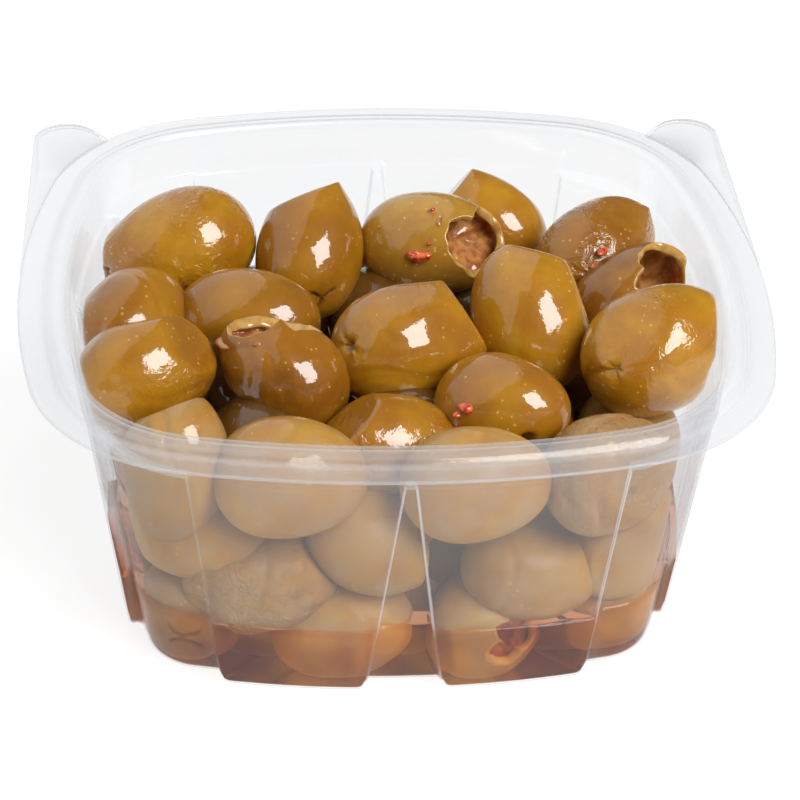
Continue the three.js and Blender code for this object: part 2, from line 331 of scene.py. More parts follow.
class MeshParts:
    """Collects closed sheets of points into one mesh with float attributes."""

    def __init__(self):
        self.points, self.faces, self.values, self.count = [], [], {}, 0

    def add(self, points, faces, **values):
        self.points.append(points)
        self.faces += [tuple(index + self.count for index in face) for face in faces]
        for name, value in values.items():
            self.values.setdefault(name, []).append(np.broadcast_to(value, len(points)))
        self.count += len(points)

    def build(self, name, material, slot, *replaced):
        mesh = bpy.data.meshes.new(name)
        points = np.concatenate(self.points) * MM
        mesh.from_pydata(points.tolist(), [], self.faces)
        for key, parts in self.values.items():
            layer = mesh.attributes.new(key, "FLOAT", "POINT")
            layer.data.foreach_set("value", np.concatenate(parts).astype(np.float32))
        mesh.polygons.foreach_set("use_smooth", [True] * len(mesh.polygons))
        mesh.materials.append(material)
        mesh.update()
        piece = add_object(name, mesh)
        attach(piece, "root")
        if replaced:
            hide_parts(*replaced)
        return piece


def inner_first(grid):
    """Values of a grid in the order of the points of a capped sheet."""
    return np.concatenate([grid[1:-1].reshape(-1), grid[0][:1], grid[-1][:1]])


def tube_faces(rows, count):
    """Quads between rows of points, each row closed on itself."""
    here = np.arange(rows - 1)[:, None] * count + np.arange(count)[None, :]
    right = np.arange(rows - 1)[:, None] * count + (np.arange(count)[None, :] + 1) % count
    return np.stack([here, right, right + count, here + count], -1).reshape(-1, 4).tolist()


def capped_sheet(rows):
    """Points and faces of rows whose first and last row are each one point."""
    count = rows.shape[1]
    inner = rows[1:-1].reshape(-1, 3)
    points = np.concatenate([inner, rows[0][:1], rows[-1][:1]])
    faces = tube_faces(len(rows) - 2, count)
    first, last = len(inner), len(inner) + 1
    top = (len(rows) - 3) * count
    for i in range(count):
        j = (i + 1) % count
        faces.append((first, j, i))
        faces.append((last, top + i, top + j))
    return points, faces


# The tub

class BowedSquare:
    """A square with bowed sides and round corners, as seen from above."""

    def __init__(self, half, bow, corner_radius):
        self.half, self.bow, self.round = half, bow, corner_radius
        self.bow_centre = half - bow
        reach = bow - corner_radius
        self.corner = (self.bow_centre + math.sqrt(2 * reach**2 - self.bow_centre**2)) / 2
        self.turn = math.atan2(self.corner, self.corner - self.bow_centre)

    def point_at(self, angles):
        along = np.abs(angles)
        on_side = along <= self.turn
        radius = np.where(on_side, self.bow, self.round)
        u = np.where(on_side, 0, self.corner) + radius * np.sin(along)
        v = np.where(on_side, self.bow_centre, self.corner) + radius * np.cos(along)
        return u * np.sign(angles), v

    def angle_at(self, u):
        if u <= self.bow * math.sin(self.turn):
            return math.asin(u / self.bow)
        return math.asin((u - self.corner) / self.round)

    def grown(self, distance):
        return BowedSquare(self.half + distance, self.bow + distance, self.round + distance)


flange_outline = BowedSquare(FLANGE_HALF, FLANGE_BOW, FLANGE_ROUND)


def body_outline(height):
    t = height / SEAT_HEIGHT
    return BowedSquare(mix(BASE_HALF, SEAT_HALF, t), BODY_BOW, mix(BASE_ROUND, SEAT_ROUND, t))


def panel_span(t):
    """The inner and the outer edge of a panel, at a share of the wall's height."""
    return [mix(edge["base"], edge["seat"], t) for edge in (PANEL_INNER, PANEL_OUTER)]


def half_side_stations(height):
    """Normal angles over half a side, and how far each is up on a panel, from 0 to 1."""
    outline = body_outline(height)
    inner, outer = panel_span(height / SEAT_HEIGHT)
    foot = max(inner - PANEL_EDGE, 0.2)
    slope = np.linspace(0, 1, SLOPE_STEPS + 1)
    places = [0.0, foot / 2]
    panel = [0.0, 0.0]
    places += list(mix(foot, inner, slope))
    panel += list(smooth(slope))
    near = [0.35, 0.8, 1.5]
    between = [inner + d for d in near] + list(np.linspace(inner + 1.5, outer - 1.5, PANEL_STEPS)[1:-1])
    places += between + [outer - d for d in near[::-1]] + [outer]
    panel += [1.0] * (len(between) + len(near) + 1)
    places += list(mix(outer, outer + PANEL_EDGE, slope[1:]))
    panel += list(smooth(1 - slope[1:]))
    angles = [outline.angle_at(u) for u in places]
    angles += list(np.linspace(angles[-1], math.pi / 4, CORNER_STEPS + 1)[1:])
    panel += [0.0] * CORNER_STEPS
    return np.array(angles), np.array(panel)


def foot_lift(u, station_height):
    """How far the corner of a panel's foot is rounded up, by the place along the side."""
    inner, outer = panel_span(station_height / SEAT_HEIGHT)
    inside = np.minimum(np.abs(u) - inner, outer - np.abs(u))
    near = np.clip(1 - inside / FOOT_ROUND, 0, 1)
    outside = smooth(1 + inside / PANEL_EDGE)
    return FOOT_ROUND * (1 - np.sqrt(1 - near**2)) * outside


def ring(outline, station_height, place, lifted=False):
    """One closed ring of wall points: place() turns panel values into outward distances and heights."""
    angles, panel = half_side_stations(station_height)
    angles = np.concatenate([-angles[-2:0:-1], angles])
    panel = np.concatenate([panel[-2:0:-1], panel])
    u, v = outline.point_at(angles)
    out, height = place(panel)
    if lifted:
        height = height + foot_lift(u, station_height) * smooth(1 - height / (3 * FOOT_ROUND))
    su = u + out * np.sin(angles)
    sv = v + out * np.cos(angles)
    sides = []
    for side in (-90, 0, 90, 180):
        turn = math.radians(side)
        x = sv * math.cos(turn) - su * math.sin(turn)
        y = sv * math.sin(turn) + su * math.cos(turn)
        sides.append(np.stack([x, y, np.broadcast_to(height, x.shape)], -1))
    return np.concatenate(sides)


def base_rings(inset):
    """From the middle of the base to where the fillet starts."""
    outline = body_outline(0)
    full = ring(outline, 0, lambda panel: fillet_place(panel, inset, 0), lifted=True)
    return [full * (share, share, 1) for share in (0.0, 0.3, 0.6, 0.85, 0.97)]


def fillet_place(panel, inset, bend):
    fillet = np.maximum(mix(BODY_FILLET, PANEL_FILLET, panel) - inset, 0.3)
    out = panel * PANEL_PROUD - inset - fillet * (1 - math.sin(bend))
    return out, inset + fillet * (1 - math.cos(bend))


def wall_rings(inset):
    """The fillet at the foot and the panelled wall, up to the seat."""
    rings = []
    for bend in np.linspace(0, math.pi / 2, 7):
        rings.append(ring(body_outline(0), 0, lambda panel: fillet_place(panel, inset, bend), lifted=True))
    for height in np.linspace(0, SEAT_HEIGHT, 13)[1:]:
        rise = 0.6 * inset * height / SEAT_HEIGHT
        def place(panel, height=height, rise=rise):
            return panel * PANEL_PROUD - inset, height + rise
        rings.append(ring(body_outline(height), height, place))
    return rings


def rounded_path(points, radius, steps):
    """A path with each inner corner cut by a small curve."""
    path = [np.array(points[0], float)]
    for before, corner, after in zip(points, points[1:], points[2:]):
        corner = np.array(corner, float)
        back, on = np.array(before) - corner, np.array(after) - corner
        reach_back = min(radius, 0.45 * np.linalg.norm(back))
        reach_on = min(radius, 0.45 * np.linalg.norm(on))
        start = corner + back / np.linalg.norm(back) * reach_back
        end = corner + on / np.linalg.norm(on) * reach_on
        for t in np.linspace(0, 1, steps + 1):
            path.append((1 - t) ** 2 * start + 2 * t * (1 - t) * corner + t**2 * end)
    path.append(np.array(points[-1], float))
    return path


def rim_rings(section):
    rings = []
    for inward, rise in section:
        outline = flange_outline.grown(-inward)
        rings.append(ring(outline, SEAT_HEIGHT, lambda panel, rise=rise: (0 * panel, FLANGE_TOP + rise)))
    return rings


def ledge_rings(wall, rim):
    """Rounds the seat, between the top of the panelled wall and the foot of the rim."""
    rings = []
    for t in (0.12, 0.3, 0.5, 0.7, 0.88):
        level = mix(wall[:, :2], rim[:, :2], smooth(t))
        rings.append(np.concatenate([level, mix(wall[:, 2:], rim[:, 2:], t)], 1))
    return rings


def panel_creases():
    """How creased the wall is at each station round the tub: 1 on the slopes beside the panels."""
    _, panel = half_side_stations(0)
    slope = (4 * panel * (1 - panel)) ** 2
    slope = np.concatenate([slope[-2:0:-1], slope])
    return np.tile(slope, 4)


def make_tub(material):
    outside = base_rings(0) + wall_rings(0)
    section = rounded_path(RIM_UNDERSIDE + RIM_TOP, RIM_ROUND, 4)
    rim = rim_rings(section)
    inside = (base_rings(SHEET) + wall_rings(SHEET))[::-1]
    foot = ledge_rings(outside[-1], rim[0])
    neck = ledge_rings(rim[-1], inside[0])
    rows = outside + foot + rim + neck + inside
    slopes = panel_creases()
    bends = [path_bend(section, k) for k in range(len(section))]
    level = [LEDGE_CREASE] * len(foot) + bends + [LEDGE_CREASE] * len(neck)
    # These values set how much painted glint and painted shade each place of the plastic gets
    crease = [slopes] * len(outside) + [v + 0 * slopes for v in level] + [slopes] * len(inside)
    crease = [v * mix(1, BACK_CREASE, smooth((row[:, 1] + 30) / 25)) for v, row in zip(crease, rows)]
    under = [smooth((wet_height(row) - row[:, 2]) / 3) for row in rows]
    crease = [v * mix(1, WET_CREASE, share) for v, share in zip(crease, under)]
    wet = [BEHIND_OIL * share * side_share(row) for share, row in zip(under, rows)]
    wet[-len(inside):] = [1.0 * (row[:, 2] < wet_height(row)) for row in inside]
    parts = MeshParts()
    points, faces = capped_sheet(np.stack(rows))
    parts.add(points, faces, crease=inner_first(np.stack(crease)), wet=inner_first(np.stack(wet)))
    parts.build("clear_tub", material, "clear_plastic", "tub")


def wet_height(row):
    """How high the oil wets each place of the wall: it clings in the channel at the front left."""
    front_left = smooth(-row[:, 0]) * smooth((-row[:, 1] - CREEP_START) / CREEP_EASE)
    return OIL_LEVEL + OIL_MENISCUS + CORNER_CREEP * front_left * side_share(row)


def side_share(row):
    """How far each place of a ring lies on the tub's left or right side, softened, from 0 to 1."""
    return smooth((np.abs(row[:, 0]) - SIDE_WALL) / 1.5) * smooth((SIDE_END - np.abs(row[:, 1])) / 3)


def path_bend(path, k):
    """How creased a path is where it turns at a point."""
    if k == 0 or k == len(path) - 1:
        return 0.0
    back, on = path[k] - path[k - 1], path[k + 1] - path[k]
    turn = math.atan2(back[0] * on[1] - back[1] * on[0], back @ on)
    return min(abs(turn) / FULL_BEND, BEND_CREASE)


def tab_outline():
    """Points of a tab's edge on the right side, from where it leaves the flange to where it meets it."""
    centre = np.array([TAB_OUTER - TAB_ROUND, TAB_END - TAB_ROUND])
    points = []
    for t in np.linspace(0, 1, 24):
        points.append(np.array([mix(FLANGE_HALF, TAB_OUTER, t), mix(TAB_START, centre[1], t)]))
    for turn in np.linspace(0, math.radians(TAB_SWEEP), 20)[1:]:
        points.append(centre + TAB_ROUND * np.array([math.cos(turn), math.sin(turn)]))
    return np.array(points)


def flange_beside(outer):
    """Points of the flange's edge, one beside each point of a tab's outer edge."""
    angles = np.linspace(0, math.pi / 2, 400)
    u, v = flange_outline.point_at(np.minimum(angles, math.pi / 4))
    edge = np.stack([v, u], -1)[angles <= math.pi / 4]
    edge = np.concatenate([edge, edge[::-1, ::-1]])
    start, stop = [np.argmin(np.linalg.norm(edge - outer[k], axis=1)) for k in (0, -1)]
    picks = np.linspace(start, stop, len(outer))
    return np.stack([np.interp(picks, range(len(edge)), edge[:, k]) for k in (0, 1)], -1)


def strip_faces(total, count):
    """Quads between rows that go round a flat strip, and over its two ends."""
    faces = []
    for row in range(total):
        here, above = row * count, (row + 1) % total * count
        for k in range(count - 1):
            faces.append((here + k, here + k + 1, above + k + 1, above + k))
    for end in (0, count - 1):
        for row in range(total // 2 - 1):
            around = (row, row + 1, total - 2 - row, total - 1 - row)
            faces.append(tuple(place * count + end for place in around))
    return faces


def make_grip_tabs(material):
    """Flat tongues that run on from the flange at the back corners, each with a raised field."""
    outer = tab_outline()
    inner = flange_beside(outer)
    gap = np.linalg.norm(outer - inner, axis=1)
    parts = MeshParts()
    for side in (1, -1):
        rows = []
        for depth, rise in TAB_ROWS:
            share = np.clip(depth / np.maximum(gap, 0.01), 0, 1.04)[:, None]
            flat = mix(outer, inner, share)
            lift = rise * smooth((gap - 2) / 2) * smooth((flat[:, 1] - TAB_FIELD_START) / 0.8)
            rows.append(np.column_stack([flat[:, 0] * side, flat[:, 1], FLANGE_TOP + lift]))
        top = np.stack(rows)
        sheet = np.concatenate([top, top[::-1] - (0, 0, SHEET)])
        crease = np.repeat(TAB_CREASES + TAB_CREASES[::-1], sheet.shape[1])
        parts.add(sheet.reshape(-1, 3), strip_faces(*sheet.shape[:2]), crease=crease, wet=0.0)
    fix_normals(parts.build("grip_tabs", material, "clear_plastic", "tub"))


def fix_normals(piece):
    """Turns a closed mesh's faces outwards."""
    work = bmesh.new()
    work.from_mesh(piece.data)
    bmesh.ops.remove_doubles(work, verts=work.verts, dist=1e-6)
    bmesh.ops.recalc_face_normals(work, faces=work.faces)
    work.to_mesh(piece.data)
    work.free()


def clear_plastic():
    """Thin clear sheet that lets light through, mirrors at a slant, is hazy where dry and has painted
    crease glint and shade.
    """
    material, tree = bare_material("clear_plastic")
    facing = node(tree, "LayerWeight", {"Blend": 0.5}).outputs["Facing"]
    crease = attribute(tree, "crease")
    dry_face = maths(tree, "SUBTRACT", 1.0, attribute(tree, "wet"))
    slant = map_range(tree, facing, 0.3, 1.0)
    tint = mix_colour(tree, slant, CLEAR_TINT, SLANT_TINT)
    # Painted shade: creases get a grey tint in place of the darker surroundings that their bends would
    # refract
    tint = mix_colour(tree, crease, tint, CREASE_PAINTED_SHADE)
    clear = node(tree, "BsdfTransparent", {"Color": tint})
    gloss = node(tree, "BsdfGlossy", {"Color": (1, 1, 1, 1), "Roughness": 0.05})
    grazing = maths(tree, "POWER", facing, 5.0)
    fresnel = maths(tree, "MULTIPLY_ADD", grazing, MIRROR_SLANT)
    fresnel.node.inputs[2].default_value = MIRROR_PLAIN
    fresnel = product(tree, fresnel, dry_face)
    mirror = mix_shader(tree, fresnel, clear, gloss)
    amount = plastic_haze(tree, facing, crease, dry_face)
    back = node(tree, "BsdfDiffuse", {"Color": HAZE_COLOUR})
    through = node(tree, "BsdfTranslucent", {"Color": HAZE_COLOUR})
    veiled = mix_shader(tree, amount, mirror, mix_shader(tree, 0.5, back, through))
    shadow = node(tree, "LightPath", {}).outputs["Is Shadow Ray"]
    let_light = node(tree, "BsdfTransparent", {"Color": (0.95, 0.95, 0.95, 1)})
    both = mix_shader(tree, shadow, veiled, let_light)
    node(tree, "OutputMaterial", {"Surface": both.outputs[0]})
    return material


def plastic_haze(tree, facing, crease, dry_face):
    """How milky the plastic is: more at a slant and over the oil, less at the back and rim, with painted
    glint on creases.
    """
    place = node(tree, "SeparateXYZ", {0: node(tree, "TexCoord", {}).outputs["Object"]})
    height, depth = place.outputs["Z"], place.outputs["Y"]
    under, over = (OIL_LEVEL - 1.5) * MM, (OIL_LEVEL + 2.5) * MM
    factors = (
        map_range(tree, height, under, over, HAZE_LOW, HAZE_HIGH),
        map_range(tree, depth, -0.040, -0.010, 1.0, 0.5),
        map_range(tree, height, 0.026, 0.042, 1.0, 1.3),
        map_range(tree, height, 0.0455, 0.049, 1.0, 0.14),
        map_range(tree, facing, 0.5, 1.0, 1.0, 2.2),
    )
    # Painted glint: creases get white haze in place of the light that their bends would catch
    amount = maths(tree, "ADD", product(tree, *factors), product(tree, crease, CREASE_PAINTED_GLINT))
    return product(tree, amount, dry_face)


# The oil

def oil_material():
    """Clear amber liquid: it bends light, blurs what lies in it and takes out blue and green with depth."""
    material, tree = bare_material("oil")
    patch = map_range(tree, noise(tree, 75, 2, (2, 7, 1)), 0.43, 0.57)
    colour = mix_colour(tree, patch, (0.86, 0.38, 0.05), (0.27, 0.09, 0.08))
    glass = node(tree, "BsdfGlass", {"Color": (1, 1, 1, 1), "Roughness": 0.06, "IOR": 1.36})
    cloud = node(tree, "BsdfTranslucent", {"Color": colour})
    murk = node(tree, "BsdfDiffuse", {"Color": colour})
    upward = node(tree, "SeparateXYZ", {0: node(tree, "NewGeometry", {}).outputs["Normal"]}).outputs["Z"]
    share = map_range(tree, upward, 0.3, 0.8, 0.22, 0.03)
    turbid = mix_shader(tree, share, glass, mix_shader(tree, 0.5, murk, cloud))
    through = node(tree, "BsdfTransparent", {"Color": (1, 0.95, 0.85, 1)})
    shadow = node(tree, "LightPath", {}).outputs["Is Shadow Ray"]
    both = mix_shader(tree, shadow, turbid, through)
    absorb = node(tree, "VolumeAbsorption", {"Color": (0.86, 0.46, 0.06, 1), "Density": 165.0})
    node(tree, "OutputMaterial", {"Surface": both.outputs[0], "Volume": absorb.outputs[0]})
    return material


def make_oil():
    """The liquid at the bottom, which reaches just into the wall and creeps up it a little."""
    inset = SHEET / 2
    wall = [r for r in wall_rings(inset) if r[:, 2].max() < OIL_LEVEL]
    outline = body_outline(OIL_LEVEL)
    top = []

    def level_ring(inward):
        return ring(outline, OIL_LEVEL, lambda panel: (panel * PANEL_PROUD - inset - inward, OIL_LEVEL))

    edge = level_ring(0)
    beside = side_share(edge)[:, None]
    for inward, rise in OIL_EDGE:
        row = mix(level_ring(inward), level_ring(SIDE_FILM * inward), beside)
        lift = rise * (wet_height(edge) - OIL_LEVEL)
        side = np.abs(row[:, 0]) > np.abs(row[:, 1])
        slope = (SEAT_HALF - BASE_HALF) / SEAT_HEIGHT
        row[:, 0] += np.where(side, np.sign(row[:, 0]) * slope * lift, 0)
        row[:, 2] += lift
        top.append(row)
    level = [top[-1] * (share, share, 1) for share in (0.75, 0.5, 0.25, 0.0)]
    parts = MeshParts()
    parts.add(*capped_sheet(np.stack(base_rings(inset) + wall + top + level)))
    parts.build("oil", oil_material(), "oil")


# The olives

# An olive is its place, its length and thickness, the heading and lift of its axis as in the part's
# source, its tone from yellow amber to brown, and what else it has. A way is an azimuth from the
# front, to the right, and an elevation, in degrees.
# mark: a pit mark, its way and its strength. It is also the pole that the olive's rows start at.
# mouth: a torn opening in place of a mark, its way, and its edge as turns and reaches in degrees
# shallow: how far the mouth's hollow reaches past the middle, as a share of the length, or short of it
# facets: flat places, each its way, the share of the olive's reach and how softly it is cut
# horns: pulled points, each its way, height and width
# creases: long wrinkles, each its normal's way, the offset along it and the depth
# notch: a gap torn through one side, its way and width
# taper: how much thinner one end is. roll: a turn about the axis
# crinkle, specks, pale, shade: how wrinkled, specked, pale or darkly shaded the skin is
def fruit(at, size, turns, tone, **more):
    """One olive that shows, as a row of values."""
    return dict(at=at, long=size[0], wide=size[1], heading=turns[0], lift=turns[1], tone=tone, **more)


TOP_OLIVES = [
    fruit((-37, 25.5, 41.5), (28.5, 19.8), (12, 14), 0.25, taper=-0.09,
          mark=("pit", -68, -8), crinkle=0.5, creases=[(10, 80, 3.5, 0.12)]),
    fruit((-13.2, 24.5, 41.5), (25, 18.5), (82, 42), 0.55,
          mark=("wye", 8, -17), facets=[(-145, 50, 0.8, 0.5)], horns=[(147, 50, 1.7, 0.13)]),
    fruit((8.3, 25.5, 42), (26.5, 18.5), (-18, 8), 0.25, pale=0.3, specks=1.6,
          mouth=(54, 24, [(0, 35), (40, 33), (75, 22), (100, 26), (125, 34), (150, 39), (180, 35),
                         (230, 38), (290, 39)])),
    fruit((20, 37.5, 40), (23, 15.5), (150, 28), 0.2,
          facets=[(-112, 36, 0.76, 0.25)], horns=[(-133, 48, 1.2, 0.16)]),
    fruit((37.8, 23.5, 41), (25, 18.5), (42, 16), 0.8, crinkle=0.9,
          facets=[(60, 70, 0.86, 0.7)], horns=[(117, 30, 1.1, 0.12)]),
    fruit((43, 11, 38), (24.5, 18), (30, 24), 0.95, shallow=0.25,
          mouth=(52, 58, [(0, 40), (45, 44), (90, 30), (135, 24), (170, 40), (200, 30), (250, 24),
                          (300, 50)])),
    fruit((43.0, -13.5, 43.5), (27, 20.5), (24, 12), 0.25,
          mark=("pit", -42, 8, 0.45), crinkle=0.15, creases=[(-15, -40, 7, 0.25)],
          facets=[(-30, 50, 0.93, 0.8)]),
    fruit((23.5, -1, 42.5), (26, 20), (108, 48), 0.3, specks=1.4,
          mark=("none", 0, 0), facets=[(152, 54, 0.88, 0.4), (99, 14, 0.86, 0.5), (-40, 80, 0.93, 0.7)],
          horns=[(121, 45, 0.7, 0.2)], creases=[(-90, 0, 2.5, 0.12)]),
    fruit((2.2, -9, 42.2), (26.5, 20), (16, 4), 0.45,
          mark=("pit", -61, 16, 0.9),
          facets=[(109, 27, 0.83, 0.3), (20, 86, 0.93, 0.5), (40, 35, 0.92, 0.5)],
          horns=[(130, 45, 1.5, 0.2), (92, 0, 0.7, 0.2)],
          creases=[(0, -65, 3.8, 0.22), (10, -60, 5.4, 0.18), (30, 70, 8.3, 0.14)]),
    fruit((-18.7, -15, 41), (24, 18), (140, 26), 1.0,
          mouth=(-170, 70, [(0, 52), (40, 40), (62, 34), (78, 18), (90, 12), (104, 32), (135, 38),
                            (180, 50), (240, 44), (300, 46)]),
          creases=[(-60, 5, 6, 0.2), (-40, 5, 7, 0.22), (-75, 5, 7.5, 0.18)]),
    fruit((-24.5, 3.5, 39.5), (26, 18.5), (-18, 6), 0.65),
    fruit((-43.8, 2.5, 40), (24, 19), (64, 4), 0.65, creases=[(-40, 40, 5, 0.3)]),
    fruit((-41, -16.5, 42), (23.5, 19), (22, 8), 0.5, facets=[(80, 45, 0.82, 0.4), (-160, 60, 0.9, 0.6)],
          horns=[(127, 62, 0.9, 0.2)], crinkle=0.25, creases=[(20, -50, 5, 0.14)]),
    fruit((16.6, -24.5, 39.5), (23.5, 17.5), (-28, 8), 0.5, specks=1.3, facets=[(-20, 85, 0.93, 0.6)],
          notch=(20, 12, 2.6)),
    fruit((-2.6, -29, 35.5), (24, 17.5), (4, 0), 0.5, crinkle=0.35,
          facets=[(-98, 48, 0.72, 0.25), (-80, 30, 0.84, 0.5)],
          horns=[(-80, 70, 1.0, 0.15)]),
]

FRONT_OLIVES = [
    fruit((-36.5, -37.5, 37.5), (25, 18), (10, 74), 0.3,
          mark=("none", 0, 80), facets=[(-146, 52, 0.84, 0.4)], horns=[(123, 58, 0.9, 0.2)],
          creases=[(-70, 10, 3, 0.35), (-80, 0, 1, 0.25), (-75, 5, 5, 0.3)]),
    fruit((-18.3, -41.5, 38), (24.5, 19), (4, 0), 0.1),
    fruit((11, -41.5, 36.5), (24, 18.5), (2, 4), 0.15),
    fruit((32.5, -39.5, 36.5), (22.5, 19.5), (14, 10), 0.5, crinkle=0.6,
          mark=("pit", 24, 2, 0.7), creases=[(20, 30, 4, 0.5), (70, 0, 2, 0.5), (40, 60, 1, 0.4)]),
    fruit((-22.5, -39.8, 17.5), (25.5, 17), (0, 4), 0.5, crinkle=0.9,
          mark=("pit", 34, 8, 0.5), facets=[(95, 40, 0.8, 0.4)],
          creases=[(10, 60, 2, 0.6), (-20, 70, -2, 0.5), (30, 50, 5, 0.5), (-60, 20, 4, 0.5)]),
    fruit((-4.6, -38.5, 23.5), (23, 17.5), (-6, -20), 0.4,
          mouth=(84, -14, [(0, 28), (60, 34), (120, 40), (180, 30), (240, 38), (300, 32)])),
    fruit((20.4, -39.6, 18.5), (22.5, 17), (4, -8), 0.5, creases=[(-70, 10, 7, 0.4)]),
    fruit((36, -36, 22), (22, 18), (40, 50), 0.5),
    fruit((13.5, -39.5, 8.6), (22, 17), (60, 16), 0.3,
          mouth=(24, 8, [(0, 44), (40, 30), (70, 26), (130, 24), (180, 18), (220, 36), (250, 40),
                         (310, 30)])),
    fruit((-9.5, -39.5, 8.6), (23, 17), (-8, 8), 0.1),
    fruit((-33.5, -33.5, 9.6), (22, 17.5), (50, 12), 0.6, mark=("cross", -16, -16, 1.6)),
    fruit((33, -33, 9.4), (22, 17.5), (-40, 10), 0.3),
]

# Rows of olives along the other walls: their height, how far out they lie and their places along a
# side. The last place is the corner, which the left side leaves out where a front olive fills it.
WALL_ROWS = [
    dict(height=9.6, reach=36.2, places=(-11.5, 11.5, 33), left_end=False),
    dict(height=25.5, reach=39, places=(-13, 10.5, 35), left_end=True),
]
WALL_OLIVE = dict(long=24.5, wide=18)
WALL_CORNER = dict(place=30, reach=33, turn=135)

# Layers inside the heap: their height and their rows, in steps of the spacing
INNER_LAYERS = [(10, (-1, 0, 1)), (20, (-0.5, 0.5)), (30, (-1, 0, 1))]
INNER_SPACING = 21.5
INNER_SHIFT = 1.5

# Olives close behind those at the front wall
FRONT_FILL = [
    dict(places=(-31, -12, 7, 27), back=-27, height=15.5, size=1.0, shade=1.0),
    dict(places=(-22, 2, 24.5), back=-31, height=7.5, size=0.8, shade=0.7),
]

# How thick the flesh is at a torn mouth, and the arms of the pitting tool's marks as turns in degrees
FLESH = 1.4
PIT_ARMS = {"cross": (35, 146, 212, 328), "wye": (20, 150, 262)}

# How finely olives are made, as rows and points in a row
OLIVE_GRID = {"top": (60, 88), "front": (44, 64), "wall": (32, 48), "fill": (28, 40), "inner": (20, 28)}

# Colours of the skin and the flesh. A pair is the two ends of a pattern or of the tone.
AMBER = ((0.53, 0.265, 0.010), (0.31, 0.118, 0.005))
BROWN = ((0.42, 0.168, 0.006), (0.21, 0.072, 0.004))
PULP = ((0.52, 0.23, 0.06), (0.32, 0.10, 0.025))
LIP = ((0.56, 0.33, 0.09), (0.46, 0.24, 0.05))
PALE_SKIN = (0.50, 0.32, 0.06)
FINE_SPOTS = (0.34, 0.14, 0.006)
CURED_SKIN = (0.40, 0.28, 0.15)
# Painted shade in the folds of pressed skin
FOLD_PAINTED_SHADE = (0.12, 0.08, 0.05)
SPECKS = (0.75, 0.48, 0.16)
# Painted shade in the slits and middle of a pit mark
PIT_PAINTED_SHADE = (0.10, 0.03, 0.008)
DEEP_SHADE = (0.05, 0.022, 0.007)
OLIVE_SHADER = {
    "Subsurface Weight": 0.18,
    "Subsurface Radius": (1.0, 0.45, 0.12),
    "Subsurface Scale": 0.004,
    "Coat Roughness": 0.03,
    "Coat IOR": 1.65,
    "Specular IOR Level": 0.15,
}


def olive_frame(heading, lift, roll=0.0):
    """Turns the axis of an olive, +Y, to its heading and lift, with a roll about it."""
    turn, slope = math.radians(heading), math.radians(lift)
    axis = Vector((math.cos(slope) * math.cos(turn), math.cos(slope) * math.sin(turn), math.sin(slope)))
    rotation = Vector((0, 1, 0)).rotation_difference(axis).to_matrix()
    return np.array(rotation @ Matrix.Rotation(math.radians(roll), 3, "Y"))


def facing_way(azimuth, elevation):
    """The direction at an azimuth from the front, to the right, and an elevation."""
    a, e = math.radians(azimuth), math.radians(elevation)
    return np.array([math.sin(a) * math.cos(e), -math.cos(a) * math.cos(e), math.sin(e)])


def round_turn(count):
    """Angles that go evenly once round."""
    return np.linspace(0, 2 * math.pi, count, endpoint=False)


def away_from(direction, centre):
    return np.arccos(np.clip(direction @ centre, -1, 1))


def lumps(direction, random, strength):
    """A smooth unevenness over a ball of directions."""
    total = np.zeros(direction.shape[:-1])
    for frequency, share in ((1.6, 1.0), (2.6, 0.55), (4.4, 0.26), (7.5, 0.13), (12, 0.06)):
        for _ in range(3):
            wave = unit(random.normal(size=3)) * frequency
            total += share * np.sin(direction @ wave + random.uniform(0, 2 * math.pi))
    return strength * total / 3


def dents(direction, random, count, depth):
    total = np.zeros(direction.shape[:-1])
    for _ in range(count):
        centre = unit(random.normal(size=3))
        width = random.uniform(0.22, 0.6)
        total -= depth * random.uniform(0.4, 1) * sharp(away_from(direction, centre), width)
    return total


def pit_mark(kind, across, up, random):
    """Depth of the mark that the pitting tool leaves, by the place beside its middle, and the painted shade
    that darkens its slits, and a pit's middle.
    """
    out = np.hypot(across, up)
    if kind == "pit":
        turn = np.arctan2(up, across)
        rays = 0.3 * np.cos(5 * turn + np.sin(2 * turn)) * np.exp(-out / 2) * smooth(out)
        return 1.5 * sharp(out, 0.9) + 0.55 * sharp(out, 3.2) + rays, sharp(out, 1.0)
    slit = np.zeros_like(across)
    for arm in PIT_ARMS[kind]:
        angle = math.radians(arm + random.uniform(-6, 6))
        beside = -across * math.sin(angle) + up * math.cos(angle)
        along = across * math.cos(angle) + up * math.sin(angle)
        bent = beside + 0.3 * np.sin(along * 1.3 + arm)
        reach = random.uniform(2.4, 3.6) * (1.4 if kind == "cross" else 1)
        cut = sharp(bent, 0.36) * smooth((reach - along) / 1.4) * smooth(along + 0.6)
        slit = np.maximum(slit, cut)
    return 0.65 * slit + 0.45 * sharp(out, 2.4), slit


